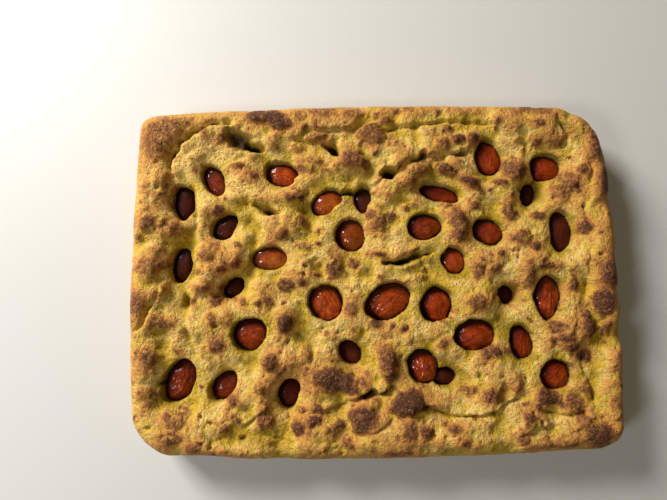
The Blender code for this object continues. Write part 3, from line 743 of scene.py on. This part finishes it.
def crustFinish():
    made = Finish("crust")
    scorch, halo, crest = made.attribute("scorch"), made.attribute("halo"), made.attribute("crest")
    oilAndShade, dark = made.attribute("oilAndShade"), made.attribute("dark")
    rim, under = made.attribute("rim"), made.attribute("under")
    broad = 4 * (made.noise(24, 2) - 0.5)
    patch = 4 * (made.noise(6, 3, 0.6) - 0.5)
    speck = 4 * (made.noise(2.4, 3, 0.7) - 0.5)
    grain, crumb = made.grains(1.3), made.grains(2.6)
    gritty = 0.24 * speck + 0.05 * grain + 0.13 * crumb
    # painted highlight: the lump tops (crest) turn pale, mixed with random pale patches and grain
    light = 0.5 * crest + 0.3 * broad + 0.3 * patch + 1.3 * gritty
    colour = made.mix(made.step(light, -0.5, 0.8), crust["yellow"], crust["pale"])
    # painted shade: olive darkens oily recesses and the low ground between the lumps
    hollow = oilAndShade - 0.9 * crest + 0.2 * patch + gritty
    colour = made.mix(0.75 * made.step(hollow, 0.1, 1.0), colour, crust["olive"])
    toasted = 0.7 * halo + 0.35 * rim + 1.2 * crest + 0.3 * broad + 0.4 * patch + 1.3 * gritty
    colour = made.mix(0.95 * made.step(toasted, -0.1, 0.7), colour, crust["tan"])
    browned = scorch + 0.25 * halo + 0.1 * rim + 0.5 * crest + 0.15 * patch + 0.1 * broad + 0.9 * gritty
    colour = made.mix(0.9 * made.step(browned, 0.25, 1.0), colour, crust["rust"])
    charred = scorch + 0.10 * patch + 0.3 * crest + 0.8 * gritty + 0.12 * grain
    charring = made.step(charred, 0.45, 1.10)
    colour = made.mix(0.92 * charring, colour, crust["purple"])
    colour = made.mix(0.4 * charring * made.step(grain, 0.8, 1.5), colour, crust["tan"])  # pale flecks
    dots = made.step(made.cells(2.8), 0.30, 0.12) * made.step(made.noise(7, 2), 0.40, 0.58)
    colour = made.mix(0.85 * dots, colour, crust["rust"])
    # painted shade: the dark mask turns creases, holes, pores and tomato gaps nearly black
    colour = made.mix(made.step(dark, 0.15, 0.95), colour, crust["holeShade"])
    browning = made.step(0.6 * broad + patch + gritty, -0.6, 0.9)
    baked = made.mix(0.55 * browning, crust["baked"], crust["rust"])
    colour = made.mix(made.step(under + 0.1 * patch, 0.2, 0.9), colour, baked)
    made.feed("Base Color", colour)
    made.feed("Roughness", 0.6 - 0.2 * oilAndShade + 0.06 * speck)
    made.feed("Coat Weight", 0.10 * made.step(oilAndShade + 0.3 * patch, 0.3, 0.8))
    made.feed("Coat Roughness", 0.3)
    made.feed("Specular IOR Level", 0.12)
    height = 0.20 * speck + 0.05 * crumb - 0.10 * made.cells(2.0)
    made.feed("Normal", made.bump(height, 3.4))
    return made.material


loaf = addPiece("loaf", makeLoaf(), crustFinish(), "bread")
print("crust done:", len(loaf.data.polygons), "faces")


# edge is painted shade at the rim and in the wrinkles and also the darker tones; light is painted light on
# the top and lower right and also the lighter tones
skins = {
    "tomato_red": {
        "edge": (0.050, 0.006, 0.002), "top": (0.29, 0.028, 0.003), "light": (0.66, 0.115, 0.006),
    },
    "tomato_amber": {
        "edge": (0.085, 0.009, 0.001), "top": (0.34, 0.055, 0.003), "light": (0.78, 0.235, 0.008),
    },
    "tomato_dark": {
        "edge": (0.016, 0.003, 0.001), "top": (0.050, 0.006, 0.002), "light": (0.115, 0.015, 0.003),
    },
}
looks = {  # each tomato's wrinkles, its tone from dark to light, and its gloss
    1: (0.3, -0.35, 0.05), 2: (0.5, -0.6, 0.7), 3: (0.9, 0.15, 0.45), 4: (0.4, -0.3, 0.08),
    5: (0.4, -0.3, 0.1), 6: (0.5, -0.3, 0.5), 7: (1.0, 0.0, 0.5), 8: (0.4, -0.6, 0.8),
    9: (0.2, -0.4, 1.3), 10: (0.4, -0.2, 0.1), 11: (1.2, 0.25, 0.8), 12: (1.3, 0.2, 0.6),
    13: (0.7, 0.0, 0.2), 14: (0.8, -0.4, 0.4), 15: (0.5, 0.5, 0.3), 16: (1.3, -0.5, 0.15),
    17: (0.8, -0.6, 0.4), 18: (0.5, 0.4, 0.06), 19: (0.7, 0.0, 0.4), 20: (0.5, -0.3, 0.15),
    21: (0.5, -0.5, 0.1), 22: (0.6, -0.5, 0.5), 23: (0.6, -0.4, 0.5), 24: (0.4, 0.1, 1.2),
    25: (0.5, 0.3, 0.2), 26: (0.4, -0.3, 0.0), 27: (1.3, -0.1, 0.5), 28: (0.4, 0.2, 0.0),
    29: (0.8, -0.25, 0.3), 30: (0.9, -0.4, 0.1), 31: (1.3, 0.1, 0.9), 32: (0.4, -0.1, 0.1),
    33: (0.9, -0.25, 0.2),
}


def skinFinish(name):
    tones = skins[name]
    made = Finish(name)
    height, paintedLitSide = made.attribute("height"), made.attribute("paintedLitSide")
    tone, gloss, wrinkle = made.attribute("tone"), made.attribute("gloss"), made.attribute("wrinkle")
    lay = made.node("ShaderNodeAttribute", {"attribute_name": "lay"}, output="Vector")
    blotch = 4 * (made.noise(6, 3, 0.6) - 0.5)
    fine = 4 * (made.noise(0.9, 3, 0.65) - 0.5)
    lines = 4 * (made.noise(3.2, 2, 0.55, 0.3, lay) - 0.5)
    crease = wrinkle * made.step(lines * lines, 0.06, 0.0)
    # painted light: the top and the lower right turn lighter, mixed with the skin's own blotches
    ripenessAndLight = 0.8 * height + 0.6 * paintedLitSide + 0.45 * blotch + 0.2 * fine
    colour = made.mix(0.75 * made.step(ripenessAndLight, 0.6, 1.45), tones["top"], tones["light"])
    # painted shade: the tomato darkens towards its rim, more on the upper left
    colour = made.mix(made.step(height + 0.35 * paintedLitSide + 0.2 * blotch, 0.38, 0.94), tones["edge"], colour)
    # painted shade in the wrinkles
    colour = made.mix(0.35 * crease, colour, tones["edge"])
    colour = made.mix(made.step(tone, 0.0, 1.0), colour, tones["light"])
    colour = made.mix(made.step(0 - tone, 0.0, 1.0), colour, tones["edge"])
    made.feed("Base Color", colour)
    made.feed("Roughness", 0.5)
    made.feed("Specular IOR Level", 0.08)
    made.feed("Coat Weight", gloss)
    made.feed("Coat Roughness", 0.06)
    height = 0.08 * fine + 0.10 * (4 * made.noise(2.6, 2) - 2) - 0.35 * crease
    made.feed("Normal", made.bump(height, 0.9))
    return made.material


relief = {"soft": 0.10, "lines": 0.06, "fine": 0.018}  # depth of each kind of dent, as a share of size


def makeTomato(tomato, index):  # a ball drawn out to the tomato's size, dented and wrinkled
    number = int(tomato["node"].split("_")[1])
    wrinkle, tone, gloss = looks[number]
    bm = bmesh.new()
    bmesh.ops.create_icosphere(bm, subdivisions=5, radius=1.0)
    out = np.array([vert.co[:] for vert in bm.verts])
    half = np.array([tomato["length"], tomato["width"], tomato["height"]])
    seed = 200 + index * 7
    soft = waves(out[:, 0] * 1.3 + 3, out[:, 1] * 1.3 + 0.7 * out[:, 2], 1.0, seed)
    lines = waves(out[:, 0] * 1.3, out[:, 1] * 3.6 + 2.5 * out[:, 2], 1.0, seed + 1)
    fine = waves(out[:, 0] * 4.0, out[:, 1] * 8.0 + 3 * out[:, 2], 1.0, seed + 2)
    body = 1 + relief["soft"] * soft - relief["lines"] * wrinkle * (1 - np.abs(lines)) ** 3
    body = body + relief["fine"] * wrinkle * fine
    points = out * half * body[:, None]
    cos, sin = math.cos(tomato["heading"]), math.sin(tomato["heading"])
    x = tomato["x"] + points[:, 0] * cos - points[:, 1] * sin
    y = tomato["y"] + points[:, 0] * sin + points[:, 1] * cos
    z = tomato["z"] + points[:, 2]
    for vert, place in zip(bm.verts, np.stack([x, y, z], 1) * mm):
        vert.co = place
    bmesh.ops.recalc_face_normals(bm, faces=bm.faces)
    mesh = bpy.data.meshes.new(f"roastTomato{number:02d}")
    bm.to_mesh(mesh)
    bm.free()
    # how high on the ball a point is, which drives the painted light on the top and the painted shade at the
    # rim
    writeMask(mesh, "height", out[:, 2])
    writeMask(mesh, "tone", np.full(len(out), tone))
    writeMask(mesh, "gloss", np.full(len(out), 0.75 * gloss))
    writeMask(mesh, "wrinkle", np.full(len(out), wrinkle))
    lay = points * np.array([0.35, 1.0, 1.0]) * mm  # drawn out along the tomato
    laid = mesh.attributes.new("lay", "FLOAT_VECTOR", "POINT")
    laid.data.foreach_set("vector", lay.ravel().astype(np.float32))
    # painted light and shade: higher towards the lower right, lower towards the upper left
    writeMask(mesh, "paintedLitSide", 0.7 * (out[:, 0] * (cos - sin) - out[:, 1] * (sin + cos)))
    mesh.shade_smooth()
    return mesh


slotOf = {part["node"]: part["material_slot"] for part in frame["record"]["subparts"]}
skinMaterials = {name: skinFinish(name) for name in skins}
for index, tomato in enumerate(tomatoes):
    slotName = slotOf[tomato["node"]]
    mesh = makeTomato(tomato, index)
    addPiece(mesh.name, mesh, skinMaterials[slotName], tomato["node"])
print("tomatoes done")


stage = {"half": 3.0, "below": 0.3, "colour": (0.60, 0.60, 0.59, 1.0), "roughness": 0.6}  # half in metres


def makeStage():
    bm = bmesh.new()
    bmesh.ops.create_grid(bm, x_segments=1, y_segments=1, size=stage["half"])
    mesh = bpy.data.meshes.new("floor")
    bm.to_mesh(mesh)
    bm.free()
    floor = bpy.data.objects.new("floor", mesh)
    bpy.context.scene.collection.objects.link(floor)
    floor.location.z = -stage["below"] * mm  # just clear of the bread's flat base
    made = Finish("floor")
    made.feed("Base Color", stage["colour"])
    made.feed("Roughness", stage["roughness"])
    mesh.materials.append(made.material)


studio = {  # lights: place and size in metres, power in watts, colour
    "key": ((-1.05, 0.95, 0.80), 0.55, 41.0, (1.0, 0.96, 0.90)),
    "side": ((-0.90, -0.40, 1.00), 0.28, 5.5, (0.94, 0.96, 1.0)),
    "fill": ((0.3, -0.3, 1.6), 1.2, 1.5, (1.0, 0.87, 0.60)),
    "world": ((0.93, 0.78, 0.48), 0.11),
}


def makeLights():
    for name in ("key", "side", "fill"):
        place, size, power, colour = studio[name]
        light = bpy.data.lights.new(name, "AREA")
        light.size, light.energy, light.color = size, power, colour
        obj = bpy.data.objects.new(name, light)
        obj.location = place
        obj.rotation_euler = (-Vector(place)).to_track_quat("-Z", "Y").to_euler()
        bpy.context.scene.collection.objects.link(obj)
    world = bpy.data.worlds.new("studio")
    world.use_nodes = True
    back = world.node_tree.nodes["Background"]
    back.inputs["Color"].default_value = (*studio["world"][0], 1.0)
    back.inputs["Strength"].default_value = studio["world"][1]
    bpy.context.scene.world = world
    bpy.context.scene.view_settings.view_transform = "Standard"


shot = {"lens": 26, "sensor": 36, "place": (-33.5, -19.5, 422.7), "tilt": 6, "turn": -1}


def makeCamera():
    camera = bpy.data.objects.new("camera", bpy.data.cameras.new("camera"))
    camera.data.lens = shot["lens"]
    camera.data.sensor_width = shot["sensor"]
    camera.location = [side * mm for side in shot["place"]]
    camera.rotation_euler = (math.radians(shot["tilt"]), 0, math.radians(shot["turn"]))
    camera.data.clip_start = 0.01
    bpy.context.scene.collection.objects.link(camera)
    bpy.context.scene.camera = camera


makeStage()
makeLights()
makeCamera()
